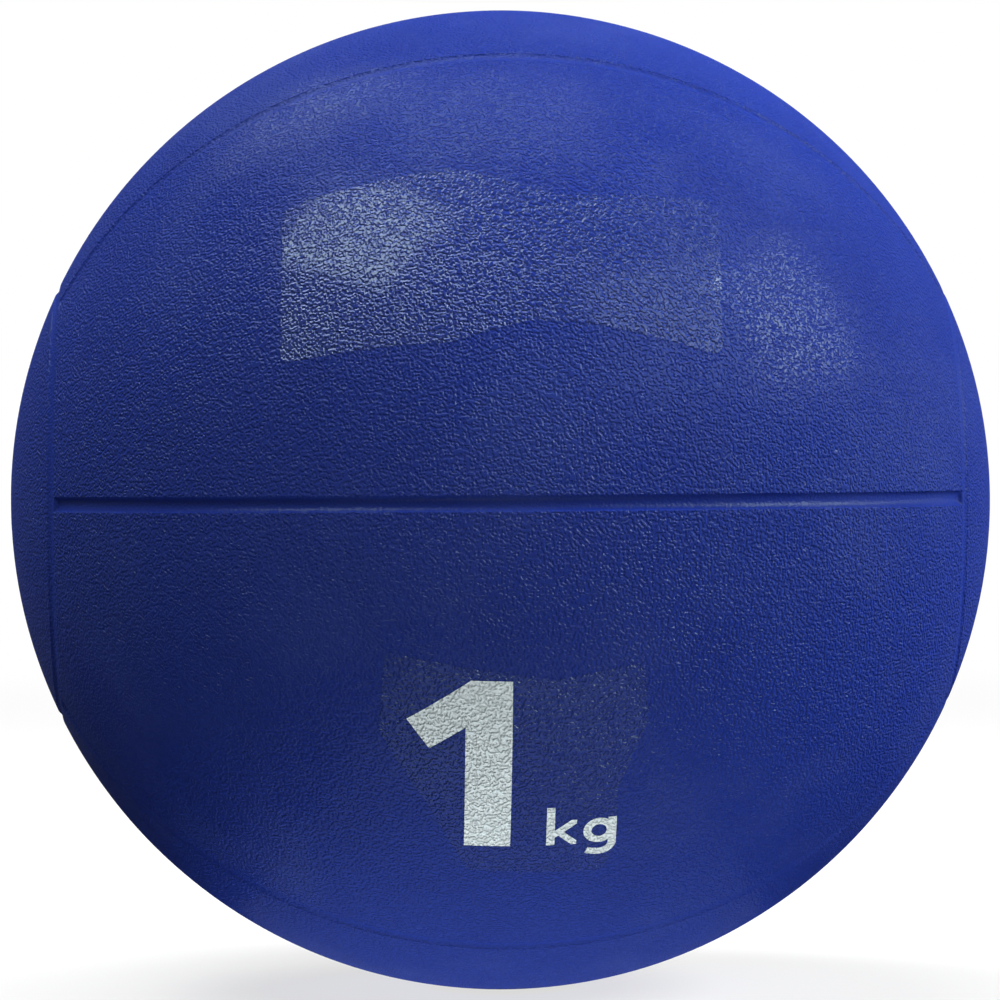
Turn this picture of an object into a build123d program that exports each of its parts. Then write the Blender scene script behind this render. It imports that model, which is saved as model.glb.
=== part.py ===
from build123d import *
import os
from math import asin, cos, degrees, radians, sin, tan

# A 1 kg rubber medicine ball in millimetres: a bladder wound in yarn, a heavy rubber layer, a moulded cover.
# The origin is the ball's centre. X runs through the middles of the two end caps, +X to the valve.
# The printed side is the front, -Y, and Z is up.

# Ball
ball_diameter = 190.0
panel_count = 6  # cover panels round the X axis, one joint facing straight to the front
end_cap_diameter = 83.4  # across the end cap's groove, from middle to middle

# Layers, from the outside in
cover_thickness = 3.0
weight_layer_thickness = 3.4
winding_thickness = 0.8
bladder_thickness = 1.0
bond_line = 0.05  # cement between two layers, and in the butt joints of the cover

# Grooves over the cover's joints, round in section
seam_groove_width = 3.1
seam_groove_depth = 0.9
cap_groove_width = 2.6
cap_groove_depth = 0.8

# Valve, in the middle of the +X end cap
valve_stem_diameter = 9.0
valve_flange_diameter = 30.0
valve_flange_thickness = 1.6
valve_boss_diameter = 12.0
valve_boss_length = 7.0  # how far the boss stands into the air space past the flange
valve_mouth_recess = 0.6  # how far the stem and the core stop short of the ball's surface
core_diameter = 5.2
core_length = 13.0
core_bead_depth = 9.0  # from the mouth to the middle of the bead that holds the core in
core_bead_width = 2.0
core_bead_height = 0.5
core_clearance = 0.05
needle_diameter = 2.1
needle_clearance = 0.15
needle_guide_length = 6.0
needle_exit_diameter = 3.0

# Clear transfer films, moulded in flush with the cover
film_thickness = 0.25
film_clearance = 0.02
film_corner_radius = 6.0
upper_film_width = 79.0
upper_film_height = 40.0
upper_film_shift = -2.5  # along X from the middle of its panel
upper_film_rise = -3.5  # up its panel from the middle

# Weight mark, white ink let into the lower film
ink_depth = 0.1
mark_margin = 4.0  # film beyond the mark, all round
mark_rise = 0.2  # the digit's middle above the middle of its panel
mark_shift = -1.5  # the mark's middle along X from the middle of its panel
digit_height = 35.0
digit_width = 18.7
digit_stem = 8.3
digit_head = 7.4  # flat top of the digit, left of its stem's right edge
digit_flag = 6.8
digit_flag_slope = 36.0
unit_gap = 6.45  # between the digit and its unit
letter_stroke = 1.5
letter_height = 5.85
letter_ascender = 8.9
letter_descender = 2.95
letter_gap = 1.2
letter_k_width = 5.45
letter_k_root = 2.0  # height at which the arm leaves the middle of the stem
letter_k_limb = 1.3
letter_k_fork = 0.3  # share of the arm below the point where the leg leaves it
letter_g_width = 6.0
letter_g_bowl_lap = 0.25  # how far the bowl's right edge lies inside the stem's
letter_g_tail_radius = 6.5
letter_g_tail_angle = 22.0

ball_radius = ball_diameter / 2
panel_angle = 360 / panel_count
end_cap_angle = degrees(asin(end_cap_diameter / ball_diameter))

cover_inner = ball_radius - cover_thickness
weight_outer = cover_inner - bond_line
weight_inner = weight_outer - weight_layer_thickness
winding_outer = weight_inner - bond_line
winding_inner = winding_outer - winding_thickness
bladder_outer = winding_inner - bond_line
bladder_inner = bladder_outer - bladder_thickness
flange_outer = bladder_inner - bond_line
flange_inner = flange_outer - valve_flange_thickness

stem_hole_radius = valve_stem_diameter / 2 + bond_line
mouth_x = ball_radius - valve_mouth_recess
needle_guide_radius = needle_diameter / 2 + needle_clearance


def groove_section(width, depth):
    # radius of the round tool, and how far its middle stands outside the ball's surface
    radius = (width**2 / 4 + depth**2) / (2 * depth)
    return radius, radius - depth


def ring_sector(outer, inner, start, end):
    # flat piece of a ring between two angles from +X, to be turned about the X axis
    arcs = CenterArc((0, 0), outer, start, end - start) + CenterArc((0, 0), inner, start, end - start)
    sides = [Line((inner * cos(a), inner * sin(a)), (outer * cos(a), outer * sin(a)))
             for a in (radians(start), radians(end))]
    return make_face(arcs.edges() + sides)


def cap_groove_mark(side):
    # the groove tool's section at the edge of an end cap, at +X for side 1 and at -X for side -1
    radius, lift = groove_section(cap_groove_width, cap_groove_depth)
    reach = ball_radius + lift
    angle = radians(end_cap_angle)
    return Pos(side * reach * cos(angle), reach * sin(angle)) * Circle(radius)


def seam_groove_tool(angle):
    # a ring round the ball through both poles, which cuts the groove at this angle up from the front
    radius, lift = groove_section(seam_groove_width, seam_groove_depth)
    return Rot(X=180 - angle) * Torus(ball_radius + lift, radius)


def cover_panel(number):
    # panel 1 lies just above the front groove, and the numbers run up and over the ball
    bottom = (number - 1) * panel_angle
    joint = degrees(bond_line / 2 / cover_inner)
    section = ring_sector(ball_radius, cover_inner, end_cap_angle + joint, 180 - end_cap_angle - joint)
    section -= cap_groove_mark(1) + cap_groove_mark(-1)
    blank = revolve(section, Axis.X, panel_angle - 2 * joint)
    panel = Rot(X=180 - bottom - panel_angle + joint) * blank
    for angle in (bottom, bottom + panel_angle):
        panel -= seam_groove_tool(angle)
    return panel


def end_cap(side):
    # the valve's cap is on the +X side
    joint = degrees(bond_line / 2 / cover_inner)
    section = ring_sector(ball_radius, cover_inner, 0, end_cap_angle - joint) - cap_groove_mark(1)
    if side > 0:
        section -= Pos(ball_radius, 0) * Rectangle(ball_radius, 2 * stem_hole_radius)
    cap = revolve(section, Axis.X)
    return cap if side > 0 else Rot(Z=180) * cap


def layer(outer, inner, side=0):
    # a spherical layer, whole or its +X or -X half, with the valve stem's hole at +X
    joint = degrees(bond_line / 2 / inner)
    start = 90 + joint if side < 0 else 0
    end = 90 - joint if side > 0 else 180
    section = ring_sector(outer, inner, start, end)
    if side >= 0:
        section -= Pos(ball_radius, 0) * Rectangle(ball_radius, 2 * stem_hole_radius)
    return revolve(section, Axis.X)


def stem_section(radius, start_x, end_x):
    return Pos((start_x + end_x) / 2, radius / 2) * Rectangle(end_x - start_x, radius)


def bead_section(clearance):
    # a round-topped ring on the core, and its seat in the housing
    middle = mouth_x - core_bead_depth
    radius = core_diameter / 2 + core_bead_height + clearance
    half = core_bead_width / 2 + clearance
    return stem_section(radius, middle - half, middle + half)


def valve_housing():
    half_flange = degrees(asin(valve_flange_diameter / 2 / flange_outer))
    boss_end = flange_inner - valve_boss_length
    body = ring_sector(flange_outer, flange_inner, 0, half_flange)
    body += stem_section(valve_boss_diameter / 2, boss_end, flange_inner)
    body += stem_section(valve_stem_diameter / 2, boss_end, mouth_x)
    seat_end = mouth_x - core_length - core_clearance
    seat = stem_section(core_diameter / 2 + core_clearance, seat_end, ball_radius)
    body -= seat + bead_section(core_clearance)
    body -= stem_section(needle_exit_diameter / 2, boss_end - valve_boss_length, mouth_x)
    return revolve(body, Axis.X)


def valve_core():
    # self-sealing plug: the needle's guide is open at the mouth and blind at the inner end
    body = stem_section(core_diameter / 2, mouth_x - core_length, mouth_x) + bead_section(0)
    body -= stem_section(needle_guide_radius, mouth_x - needle_guide_length, ball_radius)
    return revolve(body, Axis.X)


def panel_plane(angle):
    # touches no surface: it passes through the ball's centre and faces outwards through the panel's middle
    a = radians(angle)
    return Plane(origin=(0, 0, 0), x_dir=(1, 0, 0), z_dir=(0, -cos(a), sin(a)))


def skin(outline, angle, outer, inner):
    # the part of a spherical layer that lies behind a flat outline
    post = extrude(panel_plane(angle).offset(inner / 2) * outline, outer)
    return (post & Sphere(outer)) - Sphere(inner)


def digit_one():
    # drawn from the middle of its height, with its stem's right edge at 0
    top, foot = digit_height / 2, -digit_height / 2
    slope = radians(digit_flag_slope)
    tip = (-digit_width, top - tan(slope) * (digit_width - digit_head))
    heel = (tip[0] + digit_flag * sin(slope), tip[1] - digit_flag * cos(slope))
    inner = (-digit_stem, heel[1] + tan(slope) * (-digit_stem - heel[0]))
    return Polygon((0, top), (-digit_head, top), tip, heel, inner, (-digit_stem, foot), (0, foot), align=None)


def letter_k_stroke(start, end):
    # runs on past its end, so that it can be cut level there
    along = (end - start).normalized()
    side = along.rotate(Axis.Z, 90) * (letter_k_limb / 2)
    beyond = end + along * letter_stroke
    return Polygon(start + side, start - side, beyond - side, beyond + side, align=None)


def letter_k():
    # drawn from its lower left corner, with its arm and leg cut level with the other letters
    stem = Pos(letter_stroke / 2, letter_ascender / 2) * Rectangle(letter_stroke, letter_ascender)
    root = Vector(letter_stroke / 2, letter_k_root)
    top, foot = Vector(letter_k_width, letter_height), Vector(letter_k_width, 0)
    fork = root + (top - root) * letter_k_fork
    limbs = letter_k_stroke(root, top) + letter_k_stroke(fork, foot)
    band = Pos(letter_k_width / 2, letter_height / 2) * Rectangle(letter_k_width, letter_height)
    return stem + (limbs & band)


def letter_g():
    # drawn from its lower left corner, its bowl on the baseline
    stroke = letter_stroke
    wide, tall = (letter_g_width - letter_g_bowl_lap) / 2, letter_height / 2
    bowl = Pos(wide, tall) * (Ellipse(wide, tall) - Ellipse(wide - stroke, tall - stroke))
    stem = Pos(letter_g_width - stroke / 2, tall) * Rectangle(stroke, letter_height)
    bend = letter_descender - stroke / 2
    turn = CenterArc((letter_g_width - letter_descender, 0), bend, 0, -90)
    tail = JernArc(turn @ 1, (-1, 0), letter_g_tail_radius, -letter_g_tail_angle)
    return bowl + stem + trace(turn + tail, stroke)


def mark_pieces():
    # each outline in its place on the lower panel's plane
    unit_width = letter_k_width + letter_gap + letter_g_width
    left = mark_shift - (digit_width + unit_gap + unit_width) / 2
    foot = mark_rise - digit_height / 2
    k_left = left + digit_width + unit_gap
    return {
        "mark_digit_1": Pos(left + digit_width, mark_rise) * digit_one(),
        "mark_letter_k": Pos(k_left, foot) * letter_k(),
        "mark_letter_g": Pos(k_left + letter_k_width + letter_gap, foot) * letter_g(),
    }


def film_outline(width, height, grow=0.0):
    return RectangleRounded(width + 2 * grow, height + 2 * grow, film_corner_radius + grow)


def lower_film_outline(grow=0.0):
    width = digit_width + unit_gap + letter_k_width + letter_gap + letter_g_width + 2 * mark_margin
    low = -digit_height / 2 - letter_descender - mark_margin
    high = digit_height / 2 + mark_margin
    return Pos(mark_shift, mark_rise + (low + high) / 2) * film_outline(width, high - low, grow)


def upper_film_outline(grow=0.0):
    return Pos(upper_film_shift, upper_film_rise) * film_outline(upper_film_width, upper_film_height, grow)


def build():
    pieces = {f"cover_panel_{n}": cover_panel(n) for n in range(1, panel_count + 1)}
    pieces["end_cap_valve_side"] = end_cap(1)
    pieces["end_cap_far_side"] = end_cap(-1)
    pieces["weight_layer_valve_half"] = layer(weight_outer, weight_inner, 1)
    pieces["weight_layer_far_half"] = layer(weight_outer, weight_inner, -1)
    pieces["yarn_winding"] = layer(winding_outer, winding_inner)
    pieces["bladder"] = layer(bladder_outer, bladder_inner)
    pieces["valve_housing"] = valve_housing()
    pieces["valve_core"] = valve_core()

    upper, lower = panel_angle / 2, -panel_angle / 2
    film_inner = ball_radius - film_thickness
    pocket_inner = film_inner - film_clearance
    above = ball_radius + film_thickness
    last = f"cover_panel_{panel_count}"
    pieces["cover_panel_1"] -= skin(upper_film_outline(film_clearance), upper, above, pocket_inner)
    pieces[last] -= skin(lower_film_outline(film_clearance), lower, above, pocket_inner)
    pieces["upper_film"] = skin(upper_film_outline(), upper, ball_radius, film_inner)
    lower_film = skin(lower_film_outline(), lower, ball_radius, film_inner)
    ink_inner = ball_radius - ink_depth
    for name, outline in mark_pieces().items():
        lower_film -= skin(outline, lower, above, ink_inner - film_clearance)
        pieces[name] = skin(outline, lower, ball_radius, ink_inner)
    pieces["lower_film"] = lower_film
    return pieces


os.makedirs("parts", exist_ok=True)
for name, piece in build().items():
    export_step(piece, f"parts/{name}.step")
    print(name, round(piece.volume, 1))
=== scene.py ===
from math import asin, cos, pi, radians, sin, sqrt, tan

import bpy
import numpy as np
from mathutils import Matrix, Vector
from mathutils.geometry import delaunay_2d_cdt


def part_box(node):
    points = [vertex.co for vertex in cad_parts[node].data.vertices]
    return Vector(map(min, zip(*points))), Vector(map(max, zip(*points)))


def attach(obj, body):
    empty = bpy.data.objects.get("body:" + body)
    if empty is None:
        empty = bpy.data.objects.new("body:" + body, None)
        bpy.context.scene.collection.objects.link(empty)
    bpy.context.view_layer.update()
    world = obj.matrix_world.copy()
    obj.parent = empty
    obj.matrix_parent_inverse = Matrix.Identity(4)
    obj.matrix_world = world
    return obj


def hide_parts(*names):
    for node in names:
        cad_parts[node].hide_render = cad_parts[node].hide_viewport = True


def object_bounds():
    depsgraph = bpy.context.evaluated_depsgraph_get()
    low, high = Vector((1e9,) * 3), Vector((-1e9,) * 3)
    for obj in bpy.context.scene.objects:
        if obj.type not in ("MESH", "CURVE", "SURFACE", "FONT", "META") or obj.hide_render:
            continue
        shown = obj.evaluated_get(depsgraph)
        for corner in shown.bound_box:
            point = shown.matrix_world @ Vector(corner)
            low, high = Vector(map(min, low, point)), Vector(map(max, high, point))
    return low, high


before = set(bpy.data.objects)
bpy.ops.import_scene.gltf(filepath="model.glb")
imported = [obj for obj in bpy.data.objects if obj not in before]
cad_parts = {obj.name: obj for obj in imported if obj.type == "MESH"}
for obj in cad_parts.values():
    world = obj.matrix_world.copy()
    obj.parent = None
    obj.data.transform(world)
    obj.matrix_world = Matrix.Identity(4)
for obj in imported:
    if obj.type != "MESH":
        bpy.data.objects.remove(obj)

mm = 0.001
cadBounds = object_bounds()
body = "root"  # the ball is one body

# The origin is the ball's centre, X runs through the end caps, -Y is the front and Z is up.
# Lengths in the dictionaries are in millimetres unless a note says otherwise.
ball = {
    "radius": cadBounds[1].z / mm,
    "panels": 6,
    "capAcross": 83.4,  # an end cap, from groove middle to groove middle
    "wall": 3.0,
    "joint": 0.05,
    "unevenness": 0.02,  # how far the moulded surface wanders from a true sphere
}
capAngle = asin(ball["capAcross"] / 2 / ball["radius"])
panelAngle = 2 * pi / ball["panels"]


# Camera

camera = {
    "distance": 902.5,
    "azimuth": -2.378,  # degrees from the front, towards +X
    "elevation": 0.397,
    "roll": -0.407,
    "lens": 166.5,
    "shift": (-0.0004, -0.0001),
}


def towards(azimuth, elevation):
    # unit vector at these degrees from the front and up
    a, e = radians(azimuth), radians(elevation)
    return Vector((sin(a) * cos(e), -cos(a) * cos(e), sin(e)))


def addCamera():
    eye = bpy.data.cameras.new("camera")
    eye.lens, eye.sensor_width = camera["lens"], 36
    eye.shift_x, eye.shift_y = camera["shift"]
    holder = bpy.data.objects.new("camera", eye)
    bpy.context.collection.objects.link(holder)
    back = towards(camera["azimuth"], camera["elevation"])
    aim = back.to_track_quat("Z", "Y").to_matrix() @ Matrix.Rotation(radians(camera["roll"]), 3, "Z")
    holder.matrix_world = Matrix.Translation(back * camera["distance"] * mm) @ aim.to_4x4()
    bpy.context.scene.camera = holder


addCamera()
print("camera placed")


# Node trees

class Wire:
    # one value in a node tree, so that shader maths reads as an expression
    def __init__(self, sheet, socket):
        self.sheet, self.socket = sheet, socket

    def maths(self, operation, *values):
        return self.sheet.node("ShaderNodeMath", {"operation": operation}, dict(enumerate(values)))

    def __add__(self, other):
        return self.maths("ADD", self, other)

    def __sub__(self, other):
        return self.maths("SUBTRACT", self, other)

    def __rsub__(self, other):
        return self.maths("SUBTRACT", other, self)

    def __mul__(self, other):
        return self.maths("MULTIPLY", self, other)

    def __truediv__(self, other):
        return self.maths("DIVIDE", self, other)

    def __abs__(self):
        return self.maths("ABSOLUTE", self)

    __radd__, __rmul__ = __add__, __mul__

    def least(self, other):
        return self.maths("MINIMUM", self, other)

    def most(self, other):
        return self.maths("MAXIMUM", self, other)

    def ease(self, start, end):
        # 0 at start, 1 at end and smooth between
        if start > end:
            return 1 - self.ease(end, start)
        values = {"Value": self, "From Min": start, "From Max": end}
        return self.sheet.node("ShaderNodeMapRange", {"interpolation_type": "SMOOTHSTEP"}, values)


class Sheet:
    # a node tree, in which node() makes every node
    def __init__(self, owner):
        owner.use_nodes = True
        self.tree = owner.node_tree
        self.tree.nodes.clear()

    def node(self, kind, settings=None, inputs=None, output=0):
        made = self.tree.nodes.new(kind)
        for name, value in (settings or {}).items():
            setattr(made, name, value)
        for name, value in (inputs or {}).items():
            if isinstance(value, Wire):
                self.tree.links.new(value.socket, made.inputs[name])
            else:
                made.inputs[name].default_value = value
        return Wire(self, made.outputs[output]) if made.outputs else made

    def vector(self, operation, *values, output=0):
        return self.node("ShaderNodeVectorMath", {"operation": operation}, dict(enumerate(values)), output)

    def scaled(self, vector, factor):
        return self.node("ShaderNodeVectorMath", {"operation": "SCALE"}, {0: vector, "Scale": factor})

    def dot(self, vector, direction):
        return self.vector("DOT_PRODUCT", vector, direction, output="Value")

    def blend(self, factor, first, second):
        # a colour between two
        return self.node("ShaderNodeMix", {"data_type": "RGBA"}, {0: factor, 6: first, 7: second}, output=2)

    def noise(self, place, scale, detail=0.0):
        # scale is in waves to a millimetre
        return self.node("ShaderNodeTexNoise", None, {"Vector": place, "Scale": scale, "Detail": detail})

    def place(self):
        # position on the object in millimetres
        return self.scaled(self.node("ShaderNodeTexCoord", output="Object"), 1 / mm)

    def surface(self, shader):
        self.node("ShaderNodeOutputMaterial", None, {"Surface": shader})


# Sphere and grooves

def onBall(theta, phi, radius):
    # theta from the +X pole, phi up and over from the front
    theta, phi = np.broadcast_arrays(theta, phi)
    return np.stack([radius * np.cos(theta), -radius * np.sin(theta) * np.cos(phi),
                     radius * np.sin(theta) * np.sin(phi)], axis=-1)


def uneven(points):
    # slow rise and fall of the moulded surface, the same for every piece that lies in it;
    # a wave is its direction, in radians to a millimetre, and its start
    waves = [((0.11, 0.07, -0.05), 0.4), ((-0.06, 0.13, 0.09), 1.7), ((0.17, -0.12, 0.1), 2.9),
             ((0.05, 0.19, -0.16), 4.1), ((-0.21, 0.04, 0.18), 5.3)]
    height = sum(np.sin(points @ np.array(wave) + start) for wave, start in waves)
    return height[..., None] * ball["unevenness"] / len(waves)


def settled(points):
    # pushed in or out along the radius by the unevenness
    return points * (1 + uneven(points) / np.linalg.norm(points, axis=-1, keepdims=True))


section = {
    "bottomPoints": 11,
    "firstPoint": 0.03,  # from the joint in the middle, so that the joint stays crisp
    "lipPoints": 5,
    "margin": 0.25,  # plain strip beyond the lip
}


class Groove:
    # round-bottomed groove with rolled lips; polish is the share of the grain that is missing in it
    def __init__(self, width, depth, lip, polish):
        self.polish = polish
        self.radius = (width**2 / 4 + depth**2) / (2 * depth)
        self.lift = self.radius - depth  # middle of the round, above the ball's surface
        self.lip = lip
        self.reach = sqrt((self.radius + lip)**2 - (self.lift + lip)**2)  # where the lip ends
        self.turn = self.reach * self.radius / (self.radius + lip)  # where the round meets the lip

    def depth(self, distance):
        across = np.minimum(np.abs(distance), self.reach)
        bottom = np.sqrt(self.radius**2 - np.minimum(across, self.turn)**2) - self.lift
        lip = self.lip - np.sqrt(self.lip**2 - (self.reach - np.maximum(across, self.turn))**2)
        return np.where(across < self.turn, bottom, lip)

    def stations(self):
        # distances from the middle at which the section is cut
        bottom = np.insert(np.linspace(0, self.turn, section["bottomPoints"]), 1, section["firstPoint"])
        turn = np.linspace(0, pi / 2, section["lipPoints"] + 1)[1:]
        lip = self.reach - (self.reach - self.turn) * np.cos(turn)
        return np.concatenate([bottom, lip, [self.reach + section["margin"]]])


seamGroove = Groove(width=2.7, depth=0.8, lip=0.3, polish=0.85)  # at the front and the back
archGroove = Groove(width=2.8, depth=0.4, lip=0.5, polish=0.5)  # the other four seams
capGroove = Groove(width=2.4, depth=0.3, lip=0.8, polish=0.6)


# Mesh tools

def eased(share):
    # a share from 0 to 1 with a smooth start and end
    return share**2 * (3 - 2 * share)


def gridFaces(rows, columns, start=0, wrap=False):
    # quads of a grid of points; wrap joins its last column to its first
    row = np.arange(rows - 1)[:, None] * columns
    column = np.arange(columns if wrap else columns - 1)[None, :]
    following = (column + 1) % columns
    quads = np.stack([row + column, row + following, row + columns + following, row + columns + column], -1)
    return (quads.reshape(-1, 4) + start).tolist()


def makePiece(name, points, faces, sharp=()):
    # points in millimetres; sharp is a set of edges that stay crisp
    mesh = bpy.data.meshes.new(name)
    mesh.from_pydata((np.asarray(points) * mm).tolist(), [], faces)
    mesh.validate()
    mesh.shade_smooth()
    if sharp:
        marks = [tuple(sorted(edge.vertices)) in sharp for edge in mesh.edges]
        mesh.attributes.new("sharp_edge", "BOOLEAN", "EDGE").data.foreach_set("value", marks)
    piece = bpy.data.objects.new(name, mesh)
    bpy.context.collection.objects.link(piece)
    return piece


def shell(name, outside, inside, faces, rim):
    # closed piece between two sheets of the same faces; rim is the outline's directed edges
    count = len(outside)
    under = [[corner + count for corner in reversed(face)] for face in faces]
    walls = [[b, a, a + count, b + count] for a, b in rim]
    sharp = {tuple(sorted(edge)) for a, b in rim for edge in ((a, b), (a + count, b + count))}
    return makePiece(name, np.concatenate([outside, inside]), faces + under + walls, sharp)


def openEdges(faces):
    # directed edges that only one face has
    edges = {(a, b) for face in faces for a, b in zip(face, face[1:] + face[:1])}
    return [(a, b) for a, b in edges if (b, a) not in edges]


def addPiece(piece, node, material):
    piece.data.materials.append(material)
    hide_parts(node)
    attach(piece, body)
    return piece


# Cover panels and end caps

cover = {
    "panelStep": 2.4,  # mesh spacing away from the grooves
    "capSegments": 240,
    "seamEnd": (2.0, 2.6),  # from the cap groove's middle, where a seam's groove starts and is full
    "seamEndPoints": 6,
    "valveHole": 4.55,
    "valveLip": 0.5,
    "valveLipPoints": 6,
    "valveDish": 0.35,  # the cap sinks this far towards the valve
    "valveDishRadius": 11.0,
}


def coverPanel(number):
    # a panel's rows run from cap to cap and its columns from seam to seam
    radius, first = ball["radius"], (number - 1) * panelAngle
    # seams 0, 3 and 6 lie at the front, the back and the front again
    grooves = [archGroove if seam % 3 else seamGroove for seam in (number - 1, number)]
    start, full = cover["seamEnd"]
    ending = np.linspace(start, full, cover["seamEndPoints"])
    capRows = np.concatenate([capGroove.stations(), ending]) / radius
    span = pi - 2 * capAngle
    inner = np.linspace(capRows[-1], span - capRows[-1], round(radius * span / cover["panelStep"]))[1:-1]
    rows = capAngle + np.concatenate([capRows, inner, span - capRows[::-1]])
    middle = np.linspace(0, 1, round(radius * panelAngle / cover["panelStep"]))[1:-1]

    def columns(inset):
        # angles round the X axis, one row of them for each theta
        ring = radius * np.sin(rows)[:, None]  # distance from the axis
        here, there = (np.arcsin(np.maximum(groove.stations(), inset)[None, :] / ring) for groove in grooves)
        free = here[:, -1:] + (panelAngle - here[:, -1:] - there[:, -1:]) * middle[None, :]
        return first + np.concatenate([here, free, panelAngle - there[:, ::-1]], axis=1)

    phi = columns(0)
    theta = rows[:, None]
    fromCap = radius * np.minimum(theta - capAngle, pi - capAngle - theta)  # one value for each row
    seams = [groove.depth(radius * np.sin(theta) * np.sin(turn))
             for groove, turn in zip(grooves, (phi - first, first + panelAngle - phi))]
    share = np.clip((fromCap - start) / (full - start), 0, 1)
    depth = (seams[0] + seams[1]) * eased(share) + capGroove.depth(fromCap)
    outside = settled(onBall(theta, phi, radius)) * (1 - depth[..., None] / radius)
    pulledBack = ball["joint"] / 2
    back = np.clip(rows, capAngle + pulledBack / radius, pi - capAngle - pulledBack / radius)
    inside = onBall(back[:, None], columns(pulledBack), radius - ball["wall"])
    faces = gridFaces(*phi.shape)
    return shell(f"cover_panel_{number}_moulded", outside.reshape(-1, 3), inside.reshape(-1, 3), faces,
                 openEdges(faces))


def endCap(side, name, hole=0.0):
    # rings from the groove's middle to the pole, or to the valve's hole
    radius, segments, wall = ball["radius"], cover["capSegments"], ball["wall"]
    lip = cover["valveLip"] if hole else 0.0
    groove = capGroove.stations() / radius
    free = capAngle - asin((hole + lip) / radius)
    free = np.linspace(groove[-1], free, round(radius * free / cover["panelStep"]))[1:]
    theta = capAngle - np.concatenate([groove, free])
    sink = capGroove.depth(radius * (capAngle - theta))
    if hole:
        turn = np.linspace(0, pi / 2, cover["valveLipPoints"] + 1)[1:]
        theta = np.concatenate([theta, np.arcsin((hole + lip * (1 - np.sin(turn))) / radius)])
        sink = np.concatenate([sink, lip * (1 - np.cos(turn))])
        fall = cover["valveDishRadius"] - hole
        dish = np.clip((cover["valveDishRadius"] - radius * np.sin(theta)) / fall, 0, 1)
        sink += cover["valveDish"] * eased(dish)
    else:
        theta, sink = theta[:-1], sink[:-1]  # the last ring shrinks to the crown point
    inner = np.minimum(theta, capAngle - ball["joint"] / 2 / radius)
    if hole:
        inner[-1] = asin(hole / (radius - wall))
    phi = np.linspace(0, 2 * pi, segments, endpoint=False)[None, :]
    facing = (side, side, 1)
    outside = settled(onBall(theta[:, None], phi, radius) * facing) * (1 - sink[:, None, None] / radius)
    inside = onBall(inner[:, None], phi, radius - wall) * facing
    outside, inside = outside.reshape(-1, 3), inside.reshape(-1, 3)
    faces = [face[::-1] for face in gridFaces(len(theta), segments, wrap=True)]
    if not hole:
        last = (len(theta) - 1) * segments
        faces += [[last + (n + 1) % segments, last + n, last + segments] for n in range(segments)]
        crown = np.array([[radius * side, 0, 0]])
        outside = np.concatenate([outside, settled(crown)])
        inside = np.concatenate([inside, crown * (1 - wall / radius)])
    return shell(name, outside, inside, faces, openEdges(faces))


# Turned pieces of the valve

valve = {
    "coreAcross": 5.2,
    "coreLength": 13.0,
    "beadDepth": 9.0,  # from the mouth to the middle of the bead that holds the core in
    "beadWidth": 2.0,
    "beadHeight": 0.5,
    "bossAcross": 12.0,
    "flange": 1.6,
    "clearance": 0.05,
    "needleAcross": 2.4,
    "needleDepth": 6.0,
    "ventAcross": 3.0,  # behind the core, lets the air past
    "edge": 0.3,  # rounding of the moulded edges
    "funnel": 0.5,  # the core's face sinks this far towards the needle's guide
    "segments": 96,
    "roundingSteps": 5,
    "flangePoints": 12,
    "onAxis": 1e-6,  # a point nearer to the axis than this lies on it
}
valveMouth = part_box("valve_housing")[1].x / mm
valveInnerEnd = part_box("valve_housing")[0].x / mm
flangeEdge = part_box("valve_housing")[1].y / mm
bladderWall = 1.0


def rounded(corners):
    # outline with its corners rounded; a corner is (along X, from the axis, radius of the rounding)
    points, steps = [], valve["roundingSteps"]
    for n, (x, r, size) in enumerate(corners):
        here = Vector((x, r))
        if not size:
            points.append(here)
            continue
        back = (Vector(corners[n - 1][:2]) - here).normalized()
        ahead = (Vector(corners[(n + 1) % len(corners)][:2]) - here).normalized()
        half = back.angle(ahead) / 2
        middle = here + (back + ahead).normalized() * size / sin(half)
        arms = [here + way * size / tan(half) - middle for way in (back, ahead)]
        points += [middle + arms[0].slerp(arms[1], step / steps) * size for step in range(steps + 1)]
    return points


def turned(name, outline):
    # outline turned about the X axis; its points on the axis are shared
    segments = valve["segments"]
    points, rings, faces = [], [], []
    turns = [2 * pi * n / segments for n in range(segments)]
    for x, r in outline:
        count = segments if r > valve["onAxis"] else 1
        rings.append([len(points) + n % count for n in range(segments)])
        points += [(x, r * cos(turn), r * sin(turn)) for turn in turns[:count]]
    for here, following in zip(rings, rings[1:] + rings[:1]):
        for n in range(segments):
            m = (n + 1) % segments
            corners = list(dict.fromkeys([here[m], here[n], following[n], following[m]]))
            if len(corners) > 2:
                faces.append(corners)
    return makePiece(name, points, faces)


def flangeArc(radius, start, end):
    # points of a flange face between two distances from the axis
    return [(sqrt(radius**2 - r * r), r, 0) for r in np.linspace(start, end, valve["flangePoints"])]


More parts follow.
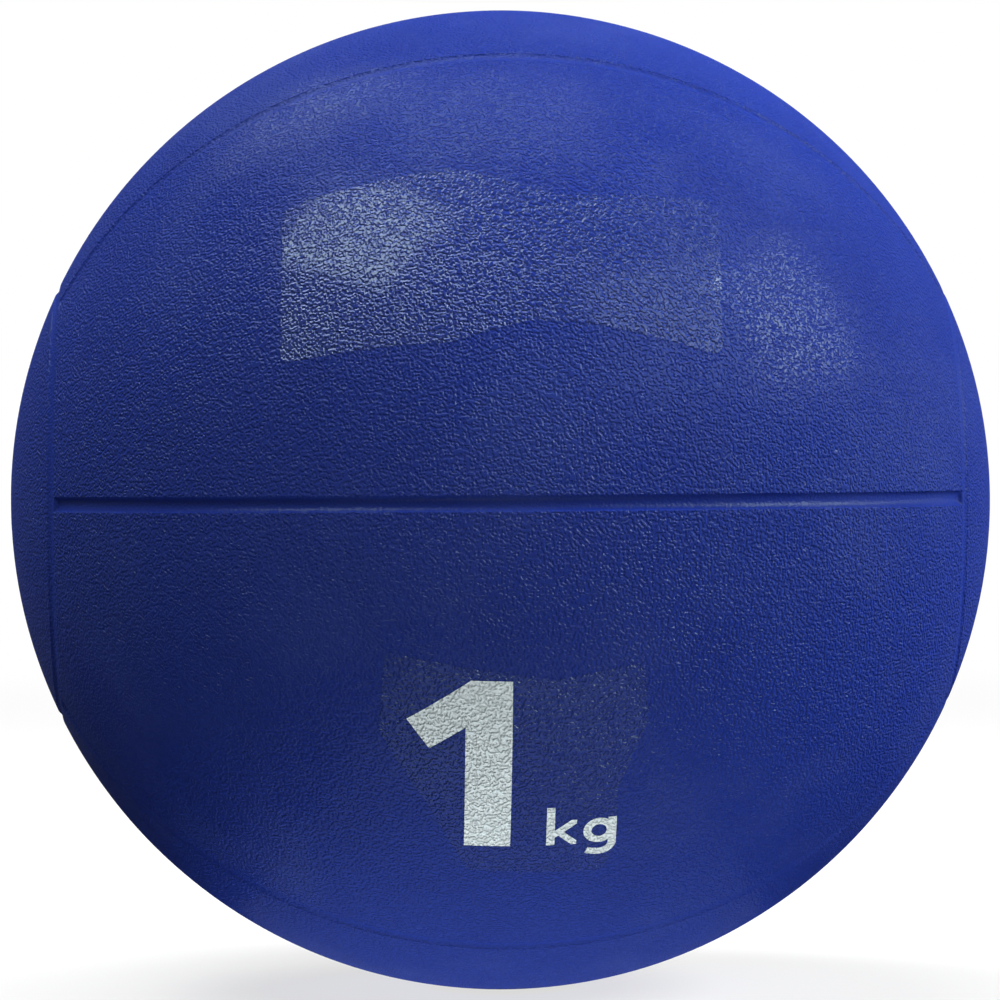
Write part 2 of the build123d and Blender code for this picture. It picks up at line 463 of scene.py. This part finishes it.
def valveHousing():
    # stem through the wall, flange against the bladder, boss into the air space, seat for the core
    edge, gap = valve["edge"], valve["clearance"]
    stem, boss = cover["valveHole"] - ball["joint"], valve["bossAcross"] / 2
    core, vent = valve["coreAcross"] / 2 + gap, valve["ventAcross"] / 2
    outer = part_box("bladder")[1].y / mm - bladderWall - ball["joint"]
    inner = outer - valve["flange"]
    bead = valveMouth - valve["beadDepth"]
    seatEnd = valveMouth - valve["coreLength"] - gap
    halfBead, beadTop = valve["beadWidth"] / 2 + gap, core + valve["beadHeight"]
    corners = [(valveMouth, stem, edge)] + flangeArc(outer, stem, flangeEdge)
    corners += flangeArc(inner, flangeEdge * inner / outer, boss)
    corners += [(valveInnerEnd, boss, edge), (valveInnerEnd, vent, edge), (seatEnd, vent, 0),
                (seatEnd, core, 0), (bead - halfBead, core, 0), (bead - halfBead, beadTop, 0),
                (bead + halfBead, beadTop, 0), (bead + halfBead, core, 0), (valveMouth, core, edge)]
    return turned("valve_housing_moulded", rounded(corners))


def valveCore():
    # plug with a bead, a blind guide for the needle and a funnelled face round it
    edge, core, guide = valve["edge"], valve["coreAcross"] / 2, valve["needleAcross"] / 2
    bead = valveMouth - valve["beadDepth"]
    halfBead, beadTop = valve["beadWidth"] / 2, core + valve["beadHeight"]
    guideEnd, coreEnd = valveMouth - valve["needleDepth"], valveMouth - valve["coreLength"]
    corners = [(guideEnd - guide / 2, 0, 0), (guideEnd, guide, 0),
               (valveMouth - valve["funnel"], guide, edge), (valveMouth, core - edge, edge),
               (valveMouth, core, edge / 2), (bead + halfBead, core, 0), (bead + halfBead, beadTop, edge),
               (bead - halfBead, beadTop, edge), (bead - halfBead, core, 0), (coreEnd, core, 2 * edge),
               (coreEnd, 0, 0)]
    return turned("valve_core_moulded", rounded(corners))


# Transfer films and the weight mark, thin sheets on the cover's two front panels

film = {
    # corners, along X and up the panel from its middle, and their rounding
    "upper": [(-42.3, -19.2, 2), (-12, -20.3, 8), (1, -16.9, 8), (13, -17, 8), (36.1, -19.8, 2),
              (36.9, 12, 3), (8, 8.8, 12), (-11.3, 15.6, 4), (-41.6, 12.8, 3)],
    "lower": [(-9.3, -23.6, 2), (15.4, -24.6, 2), (17.8, -16, 6), (17.3, -5, 8), (22.7, 9, 6),
              (21.6, 19.8, 1.5), (6, 17.9, 10), (-24.2, 21.8, 1.5), (-25.4, 6.5, 4), (-16.1, -9, 12)],
    "bottom": 0.004,  # above the cover
    "top": 0.03,
    "inkTop": 0.05,
    "spacing": 1.1,
    "snap": 1e-5,  # points nearer than this are one
}
mark = {
    "rise": 0.2,  # the digit's middle, up the lower panel from the panel's middle
    "digitHeight": 35.0,
    "stem": 8.3,
    "head": 7.4,  # flat top of the digit
    "flag": 6.8,
    "flagSlope": 36.0,  # degrees
    "stroke": 1.5,
    "letterHeight": 5.85,
    "ascender": 8.9,
    "descender": 2.95,
    "kRoot": 2.0,
    "kLimb": 1.3,
    "kFork": 0.3,  # share of the arm below the leg
    "bowlLap": 0.25,
    "tailRadius": 6.5,
    "tailAngle": 22.0,  # degrees
    "arcSteps": 32,
}
upperAngle, lowerAngle = panelAngle / 2, -panelAngle / 2  # of the panels' middles, up from the front


def span(node):
    # lowest and highest X of a CAD node
    low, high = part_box(node)
    return low.x / mm, high.x / mm


def strip(left, right, low, high):
    return [(left, low), (right, low), (right, high), (left, high)]


def clipped(outline, axis, limit, sign):
    # the part of a convex outline where sign * coordinate is at most sign * limit
    kept = []
    for here, following in zip(outline, outline[1:] + outline[:1]):
        a, b = sign * (here[axis] - limit), sign * (following[axis] - limit)
        if a <= 0:
            kept.append(here)
        if a * b < 0:
            kept.append(tuple(Vector(here).lerp(Vector(following), a / (a - b))))
    return kept


def band(middle, wide, tall, start, end, stroke):
    # quads along an elliptical arc, stroke wide inwards; angles in degrees
    steps = mark["arcSteps"]

    def at(step, inset):
        t = radians(start + (end - start) * step / steps)
        return middle[0] + (wide - inset) * cos(t), middle[1] + (tall - inset) * sin(t)

    return [[at(n, 0), at(n + 1, 0), at(n + 1, stroke), at(n, stroke)] for n in range(steps)]


def digitOne():
    # drawn from its stem's right edge and the middle of its height
    left, right = span("mark_digit_1")
    top, width, slope = mark["digitHeight"] / 2, right - left, radians(mark["flagSlope"])
    tip = (-width, top - tan(slope) * (width - mark["head"]))
    heel = (tip[0] + mark["flag"] * sin(slope), tip[1] - mark["flag"] * cos(slope))
    inner = (-mark["stem"], heel[1] + tan(slope) * (-mark["stem"] - heel[0]))
    points = [(0, top), (-mark["head"], top), tip, heel, inner, (-mark["stem"], -top), (0, -top)]
    return [[(right + x, mark["rise"] + y) for x, y in points]]


def onBaseline(node, shapes):
    # shapes drawn from a letter's lower left corner, put in its place
    left, foot = span(node)[0], mark["rise"] - mark["digitHeight"] / 2
    return [[(left + x, foot + y) for x, y in shape] for shape in shapes]


def letterK():
    left, right = span("mark_letter_k")
    width, height, stroke = right - left, mark["letterHeight"], mark["stroke"]
    root, top, foot = Vector((stroke / 2, mark["kRoot"])), Vector((width, height)), Vector((width, 0))
    shapes = [strip(0, stroke, 0, mark["ascender"])]
    for start, end in ((root, top), (root.lerp(top, mark["kFork"]), foot)):
        along = (end - start).normalized()
        side, beyond = Vector((-along.y, along.x)) * mark["kLimb"] / 2, end + along * stroke
        limb = [tuple(point) for point in (start + side, start - side, beyond - side, beyond + side)]
        for axis, limit, sign in ((0, width, 1), (1, height, 1), (1, 0, -1)):
            limb = clipped(limb, axis, limit, sign)
        shapes.append(limb)
    return onBaseline("mark_letter_k", shapes)


def letterG():
    left, right = span("mark_letter_g")
    width, height, stroke, drop = right - left, mark["letterHeight"], mark["stroke"], mark["descender"]
    wide, tall, tail = (width - mark["bowlLap"]) / 2, height / 2, mark["tailRadius"]
    shapes = band((wide, tall), wide, tall, 0, 360, stroke) + [strip(width - stroke, width, 0, height)]
    shapes += band((width - drop, 0), drop, drop, 0, -90, stroke)
    outer = tail + stroke / 2
    middle = (width - drop, outer - drop)
    shapes += band(middle, outer, outer, 270, 270 - mark["tailAngle"], stroke)
    return onBaseline("mark_letter_g", shapes)


def skin(name, shapes, angle, bottom, top):
    # thin closed sheet over the ball behind flat shapes, which may overlap
    spacing = film["spacing"]
    corners, outlines = [], []
    for shape in shapes:
        start = len(corners)
        area = sum(a[0] * b[1] - b[0] * a[1] for a, b in zip(shape, shape[1:] + shape[:1]))
        if area < 0:
            shape = shape[::-1]  # a clockwise shape would claim a letter's hole
        for here, following in zip(shape, shape[1:] + shape[:1]):
            here, following = Vector(here), Vector(following)
            steps = max(1, round((following - here).length / spacing))
            corners += [here.lerp(following, n / steps) for n in range(steps)]
        outlines.append(list(range(start, len(corners))))
    low, high = np.min(corners, 0), np.max(corners, 0)
    grid = [Vector((u, v)) for u in np.arange(low[0] + spacing / 2, high[0], spacing)
            for v in np.arange(low[1] + spacing / 2, high[1], spacing)]
    flat, _, triangles, _, _, covered = delaunay_2d_cdt(corners + grid, [], outlines, 1, film["snap"])
    triangles = [triangle for triangle, over in zip(triangles, covered) if over]  # none in a letter's hole
    used = sorted({corner for triangle in triangles for corner in triangle})
    number = {corner: n for n, corner in enumerate(used)}
    faces = [[number[corner] for corner in triangle] for triangle in triangles]
    u, v = np.array([flat[corner] for corner in used]).T
    u, v, w = u[:, None], v[:, None], np.sqrt(ball["radius"]**2 - u * u - v * v)[:, None]
    points = settled(u * (1, 0, 0) + v * (0, sin(angle), cos(angle)) + w * (0, -cos(angle), sin(angle)))
    lift = [points * (1 + height / ball["radius"]) for height in (top, bottom)]
    return shell(name, lift[0], lift[1], faces, openEdges(faces))


# Materials

blue = (0.0138, 0.034, 0.27, 1)
coolGloss = (0.79, 1, 1, 1)  # tint of what the surfaces mirror
grain = {
    "frequency": 1.9,  # pebbles to a millimetre
    "valley": 0.3,  # noise values at which valleys bottom out and pebbles flatten
    "top": 0.65,
    "fade": 0.35,  # width over which it ends at a groove
}


def grainHeight(sheet, place):
    # 0 in a valley, 1 on a pebble
    return sheet.noise(place, grain["frequency"]).ease(grain["valley"], grain["top"])


def grooveMask(sheet, place):
    # 1 on the grained cover, 0 in the smooth grooves
    seam = None
    for n in range(ball["panels"] // 2):
        groove = archGroove if n else seamGroove
        across = abs(sheet.dot(place, (0, sin(n * panelAngle), cos(n * panelAngle))))
        grained = 1 - across.ease(groove.reach, groove.reach - grain["fade"]) * groove.polish
        seam = grained if seam is None else seam.least(grained)
    along = abs(sheet.dot(sheet.vector("NORMALIZE", place), (1, 0, 0)))
    fromCap = (along.maths("ARCCOSINE", along) - capAngle) * ball["radius"]
    onCap = fromCap.ease(grain["fade"], -grain["fade"])
    start, end = -capGroove.reach, cover["seamEnd"][0]  # the smooth band round the cap
    half = (end - start) / 2
    cap = abs(fromCap - start - half).ease(half, half - grain["fade"])
    return seam.most(onCap).least(1 - cap * capGroove.polish)


chalkiness = 1.0  # of the matt reflection, all of which are rough


def principled(sheet, values, height):
    # values by socket name; height is the bump's, in millimetres
    values["Diffuse Roughness"] = chalkiness
    values["Normal"] = sheet.node("ShaderNodeBump", None, {"Height": height, "Distance": mm})
    return sheet.node("ShaderNodeBsdfPrincipled", None, values)


def newMaterial(name):
    material = bpy.data.materials.new(name)
    return material, Sheet(material)


rubber = {
    "bump": 0.28,
    "roughness": 0.22,
    "gloss": 0.04,  # share of the surface that shines; the rest is matt
    "shadedValleys": 0.0,
}
upperFilm = {
    "bump": 0.5,
    "roughness": 0.11,
    "gloss": 0.093,
    "shadedValleys": 0.05,
}
lowerFilm = {
    "bump": 0.75,
    "roughness": 0.2,
    "gloss": 0.07,
    "shadedValleys": 0.05,
}
wearAndValleyShade = {
    "dusty": (0.085, 0.122, 0.34, 1),
    "dust": 0.12,
    "dustSpread": 0.035,
    "dustEdge": (0.45, 0.75),
    "dustRoughness": 0.05,
    "handled": (0.0085, 0.021, 0.2, 1),
    "smudge": 0.15,
    "smudgeSpread": 0.06,
    "smudgeEdge": (0.5, 0.72),
    "smudgePolish": 0.03,
    "grooveRoughness": 0.15,
    # the films' grain valleys are darkened towards this colour: painted shade
    "valleys": (0.006, 0.014, 0.14, 1),
    "index": 3.0,  # of refraction, for the part that shines
}


def blueSurface(name, look, grooved):
    # rubber or the film on it; the grooves have less grain
    material, sheet = newMaterial(name)
    place = sheet.place()
    grained = grooveMask(sheet, place) if grooved else 1.0
    height = grainHeight(sheet, place)
    dust = sheet.noise(place, wearAndValleyShade["dustSpread"], detail=3).ease(*wearAndValleyShade["dustEdge"])
    smudge = sheet.noise(place, wearAndValleyShade["smudgeSpread"], detail=2).ease(*wearAndValleyShade["smudgeEdge"])
    colour = sheet.blend(dust * wearAndValleyShade["dust"], blue, wearAndValleyShade["dusty"])
    colour = sheet.blend(smudge * wearAndValleyShade["smudge"], colour, wearAndValleyShade["handled"])
    # darker in the grain's valleys: painted shade
    colour = sheet.blend((1 - height) * look["shadedValleys"], colour, wearAndValleyShade["valleys"])
    roughness = look["roughness"] + dust * wearAndValleyShade["dustRoughness"] - smudge * wearAndValleyShade["smudgePolish"]
    roughness = roughness + (1 - grained) * wearAndValleyShade["grooveRoughness"]
    height = height * grained * look["bump"]
    common = {"Base Color": colour, "Roughness": roughness}
    matt = principled(sheet, {**common, "Specular IOR Level": 0.0}, height)
    shiny = principled(sheet, {**common, "IOR": wearAndValleyShade["index"], "Specular Tint": coolGloss}, height)
    sheet.surface(sheet.node("ShaderNodeMixShader", None, {0: look["gloss"], 1: matt, 2: shiny}))
    return material


ink = {
    "colour": (0.85, 0.955, 0.98, 1),
    # colour in the grain's valleys: partly thinner ink, partly painted shade
    "valleys": (0.58, 0.68, 0.71, 1),
    "shadedValleys": 0.3,
    "roughness": 0.3,
    "bump": 0.85,
}


def markInk():
    material, sheet = newMaterial("mark_ink_pale")
    place = sheet.place()
    height = grainHeight(sheet, place)
    # darker in the valleys: partly thinner ink, partly painted shade
    colour = sheet.blend((1 - height) * ink["shadedValleys"], ink["colour"], ink["valleys"])
    values = {"Base Color": colour, "Roughness": ink["roughness"]}
    sheet.surface(principled(sheet, values, height * ink["bump"]))
    return material


soft = {
    "colours": ((0.022, 0.022, 0.025, 1), (0.035, 0.035, 0.038, 1)),
    "frequency": 1.5,
    "edge": (0.4, 0.7),
    "roughness": 0.38,
    "dullness": 0.15,  # added where the skin stands out
    "bump": 0.05,
}


def valveRubber():
    material, sheet = newMaterial("valve_rubber_black")
    moulded = sheet.noise(sheet.place(), soft["frequency"], detail=3)
    colour = sheet.blend(moulded.ease(*soft["edge"]), *soft["colours"])
    roughness = soft["roughness"] + moulded * soft["dullness"]
    sheet.surface(principled(sheet, {"Base Color": colour, "Roughness": roughness}, moulded * soft["bump"]))
    return material


filled = {
    "colours": ((0.018, 0.018, 0.02, 1), (0.04, 0.04, 0.042, 1)),
    "cloudFrequency": 0.08,
    "cloudBump": 0.4,
    "speckColour": (0.09, 0.09, 0.09, 1),
    "speckFrequency": 0.9,
    "speckEdge": (0.3, 0.05),
    "speckBump": 0.05,
    "speck": 0.4,
    "roughness": 0.72,
    "dullness": 0.15,
}


def weightRubber():
    material, sheet = newMaterial("weight_rubber_filled")
    place = sheet.place()
    speck = sheet.node("ShaderNodeTexVoronoi", None, {"Vector": place, "Scale": filled["speckFrequency"]})
    speck = speck.ease(*filled["speckEdge"])
    cloud = sheet.noise(place, filled["cloudFrequency"], detail=4)
    colour = sheet.blend(cloud, *filled["colours"])
    colour = sheet.blend(speck * filled["speck"], colour, filled["speckColour"])
    height = cloud * filled["cloudBump"] + speck * filled["speckBump"]
    roughness = filled["roughness"] + cloud * filled["dullness"]
    sheet.surface(principled(sheet, {"Base Color": colour, "Roughness": roughness}, height))
    return material


yarn = {
    "axes": ((1, 0.2, 0.1), (-0.3, 1, 0.4), (0.2, -0.5, 1), (0.7, 0.8, -0.6), (-0.8, 0.3, 0.9)),
    "pitch": 0.55,
    "wander": 6,
    "wanderFrequency": (0.05, 0.01),  # of the first band, and what each further one adds
    "plyFrequency": (0.6, 0.1),
    "thread": (0, 0.4),
    "bandOffset": (17.0, 5.0, -9.0),
    "bandFrequency": 0.07,
    "bandEdge": (0.49, 0.53),
    "sunk": 0.8,  # height that a band keeps under the next one
    # the first colour, where the yarn lies low, is painted shade; the second is the yarn's own
    "colours": ((0.36, 0.33, 0.26, 1), (0.74, 0.71, 0.62, 1)),
    "soaked": (0.62, 0.52, 0.36, 1),
    "soakedEdge": (0.45, 0.8),
    "soak": 0.5,
    "roughness": 0.5,
    "dullness": 0.25,
    "bump": 0.18,
}


def windingYarn():
    # bands of latex-soaked yarn that cross at several angles, one band on top at each place
    material, sheet = newMaterial("winding_yarn_soaked")
    place = sheet.place()
    height, shade = None, None

    def further(name, n):
        first, more = yarn[name]
        return sheet.noise(place, first + more * n)

    for n, axis in enumerate(yarn["axes"]):
        lane = sheet.dot(place, tuple(Vector(axis).normalized())) / yarn["pitch"]
        lane = lane + further("wanderFrequency", n) * yarn["wander"]
        thread = abs(lane.maths("PINGPONG", lane, 0.5)).ease(*yarn["thread"])
        ply = further("plyFrequency", n)
        if height is None:
            height, shade = thread, ply
            continue
        moved = sheet.vector("ADD", place, tuple(Vector(yarn["bandOffset"]) * n))
        over = sheet.noise(moved, yarn["bandFrequency"]).ease(*yarn["bandEdge"])
        height = height * (1 - over) * yarn["sunk"] + thread * over
        shade = shade * (1 - over) + ply * over
    # darker where the yarn lies low, between threads and under the band on top: painted shade
    colour = sheet.blend(height, *yarn["colours"])
    colour = sheet.blend(shade.ease(*yarn["soakedEdge"]) * yarn["soak"], colour, yarn["soaked"])
    roughness = yarn["roughness"] + height * yarn["dullness"]
    sheet.surface(principled(sheet, {"Base Color": colour, "Roughness": roughness}, height * yarn["bump"]))
    return material


satin = {
    "colours": ((0.016, 0.016, 0.017, 1), (0.034, 0.035, 0.037, 1)),
    "bloomFrequency": 0.03,
    "bloomEdge": (0.35, 0.75),
    "roughness": 0.34,
    "dullness": 0.2,
    "frequency": 0.4,
    "bump": 0.06,
}


def bladderRubber():
    material, sheet = newMaterial("bladder_rubber_satin")
    place = sheet.place()
    bloom = sheet.noise(place, satin["bloomFrequency"], detail=4).ease(*satin["bloomEdge"])
    colour = sheet.blend(bloom, *satin["colours"])
    roughness = satin["roughness"] + bloom * satin["dullness"]
    height = sheet.noise(place, satin["frequency"], detail=2) * satin["bump"]
    sheet.surface(principled(sheet, {"Base Color": colour, "Roughness": roughness}, height))
    return material


# The ball's pieces

coverMaterial = blueSurface("cover_rubber_grained", rubber, grooved=True)
valveMaterial, inkMaterial = valveRubber(), markInk()
for n in range(1, ball["panels"] + 1):
    addPiece(coverPanel(n), f"cover_panel_{n}", coverMaterial)
print("cover panels moulded")
addPiece(endCap(1, "end_cap_moulded_valve_side", cover["valveHole"]), "end_cap_valve_side",
         coverMaterial)
addPiece(endCap(-1, "end_cap_moulded_far_side"), "end_cap_far_side", coverMaterial)
print("end caps moulded")
addPiece(valveHousing(), "valve_housing", valveMaterial)
addPiece(valveCore(), "valve_core", valveMaterial)
print("valve turned")

for place, angle, look in (("upper", upperAngle, upperFilm), ("lower", lowerAngle, lowerFilm)):
    piece = skin(place + "_film_sheet", [rounded(film[place])], angle, film["bottom"], film["top"])
    addPiece(piece, place + "_film",
             blueSurface(f"transfer_film_clear_{place}", look, grooved=False))
print("films laid")
for node, shapes in (("mark_digit_1", digitOne()), ("mark_letter_k", letterK()),
                     ("mark_letter_g", letterG())):
    piece = skin(node + "_ink", shapes, lowerAngle, film["top"] + film["bottom"], film["inkTop"])
    addPiece(piece, node, inkMaterial)
print("mark inked")

for material, nodes in ((weightRubber(), ("weight_layer_valve_half", "weight_layer_far_half")),
                        (windingYarn(), ("yarn_winding",)), (bladderRubber(), ("bladder",))):
    for node in nodes:
        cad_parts[node].data.materials[0] = material
print("inner layers finished")


# Studio

studio = {
    "floorReach": 6.0,  # metres
    "floorShade": 0.62,  # of the floor to the camera
    "bounce": 0.1,  # of the floor to the ball
    "shadowReach": (0.5, 1.5),  # metres from the ball over which the floor turns plain white
    "shadow": 0.3,  # share of the floor's look that the lamps give near the ball; the rest is white
    "mirroredReach": (0.15, 0.45),  # metres over which the mirrored floor turns white
    "ambient": 0.0,  # light from the backdrop on matt surfaces
    "ceiling": 0.2,  # brightness overhead, above the white backdrop, as a glossy surface mirrors it
    "ceilingFrom": (0.45, 0.75),  # where the backdrop gives way to it; 1 is straight up
}
# a lamp's level is how brightly it alone would light a white card at the ball; sizes in metres
lamps = {
    "window": {"azimuth": -56, "elevation": 58, "distance": 1.3, "size": (0.65, 0.5), "level": 0.76},
    "behindLeft": {"azimuth": -141, "elevation": 54, "distance": 1.3, "size": (0.5, 0.5), "level": 0.78},
    "overhead": {"azimuth": 180, "elevation": 82, "distance": 1.3, "size": (0.7, 0.7), "level": 0.84},
    "right": {"azimuth": 80, "elevation": 32, "distance": 1.3, "size": (0.65, 0.55), "level": 1.42},
    "behindRight": {"azimuth": 110, "elevation": 10, "distance": 1.3, "size": (0.5, 0.4), "level": 0.14},
    "front": {"azimuth": 48, "elevation": 34, "distance": 1.3, "size": (0.9, 0.7), "level": 0.44},
}
lightTable = {
    "size": (0.12, 0.21),
    "forward": 0.075,  # metres
    "brightness": 1.35,
}


def seenDirectly(sheet):
    # 1 for what the camera sees, also in a reflection or through glass
    rays = [sheet.node("ShaderNodeLightPath", output=name)
            for name in ("Is Camera Ray", "Is Glossy Ray", "Is Transmission Ray")]
    return (rays[0] + rays[1] + rays[2]).least(1)


def addWorld():
    world = bpy.data.worlds.new("studio")
    bpy.context.scene.world = world
    sheet = Sheet(world)
    up = sheet.dot(sheet.node("ShaderNodeTexCoord", output="Generated"), (0, 0, 1))
    camera = sheet.node("ShaderNodeLightPath", output="Is Camera Ray")
    above = up.ease(*studio["ceilingFrom"]) * (1 - camera)
    strength = 1 - above * (1 - studio["ceiling"])
    white = sheet.node("ShaderNodeBackground", None, {"Color": (1, 1, 1, 1), "Strength": strength})
    dim = sheet.node("ShaderNodeBackground", None, {"Color": (1, 1, 1, 1), "Strength": studio["ambient"]})
    lit = sheet.node("ShaderNodeMixShader", None, {0: seenDirectly(sheet), 1: dim, 2: white})
    sheet.node("ShaderNodeOutputWorld", None, {"Surface": lit})


def addFloor():
    reach = studio["floorReach"] / mm
    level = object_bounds()[0].z / mm
    corners = [(x, y, level) for x, y in strip(-reach, reach, -reach, reach)]
    floor = makePiece("floor", corners, [[0, 1, 2, 3]])
    material, sheet = newMaterial("floor_pale")
    camera = sheet.node("ShaderNodeLightPath", output="Is Camera Ray")
    away = sheet.vector("LENGTH", sheet.place(), output="Value") * mm
    near = away.ease(*reversed(studio["shadowReach"])) * studio["shadow"] * camera
    near = near + away.ease(*reversed(studio["mirroredReach"])) * (1 - camera)
    shade = sheet.blend(camera, *((*[studio[name]] * 3, 1) for name in ("bounce", "floorShade")))
    paper = sheet.node("ShaderNodeBsdfDiffuse", None, {"Color": shade})
    white = sheet.node("ShaderNodeEmission", None, {"Color": (1, 1, 1, 1), "Strength": 1.0})
    share = seenDirectly(sheet) * (1 - near)
    sheet.surface(sheet.node("ShaderNodeMixShader", None, {0: share, 1: paper, 2: white}))
    floor.data.materials.append(material)


def addRectangle(name, size, energy, place, turn):
    lamp = bpy.data.lights.new(name, "AREA")
    lamp.shape = "RECTANGLE"
    lamp.size, lamp.size_y = size
    lamp.energy = energy
    holder = bpy.data.objects.new(name, lamp)
    bpy.context.collection.objects.link(holder)
    holder.location, holder.rotation_euler = place, turn
    holder.visible_camera = False


def addLamp(name, azimuth, elevation, distance, size, level):
    way = towards(azimuth, elevation)
    turn = way.to_track_quat("Z", "Y").to_euler()
    addRectangle(name, size, level * (pi * distance)**2, way * distance, turn)


def addLightTable():
    # lies on the floor and lights the ball from below
    width, depth = lightTable["size"]
    energy = lightTable["brightness"] * pi * width * depth
    place = (0, -lightTable["forward"], cadBounds[0].z + mm)
    addRectangle("lightTable", (width, depth), energy, place, (pi, 0, 0))


addWorld()
addFloor()
for name, lamp in lamps.items():
    addLamp(name, **lamp)
addLightTable()
bpy.context.scene.view_settings.view_transform = "Standard"
print("studio lit")
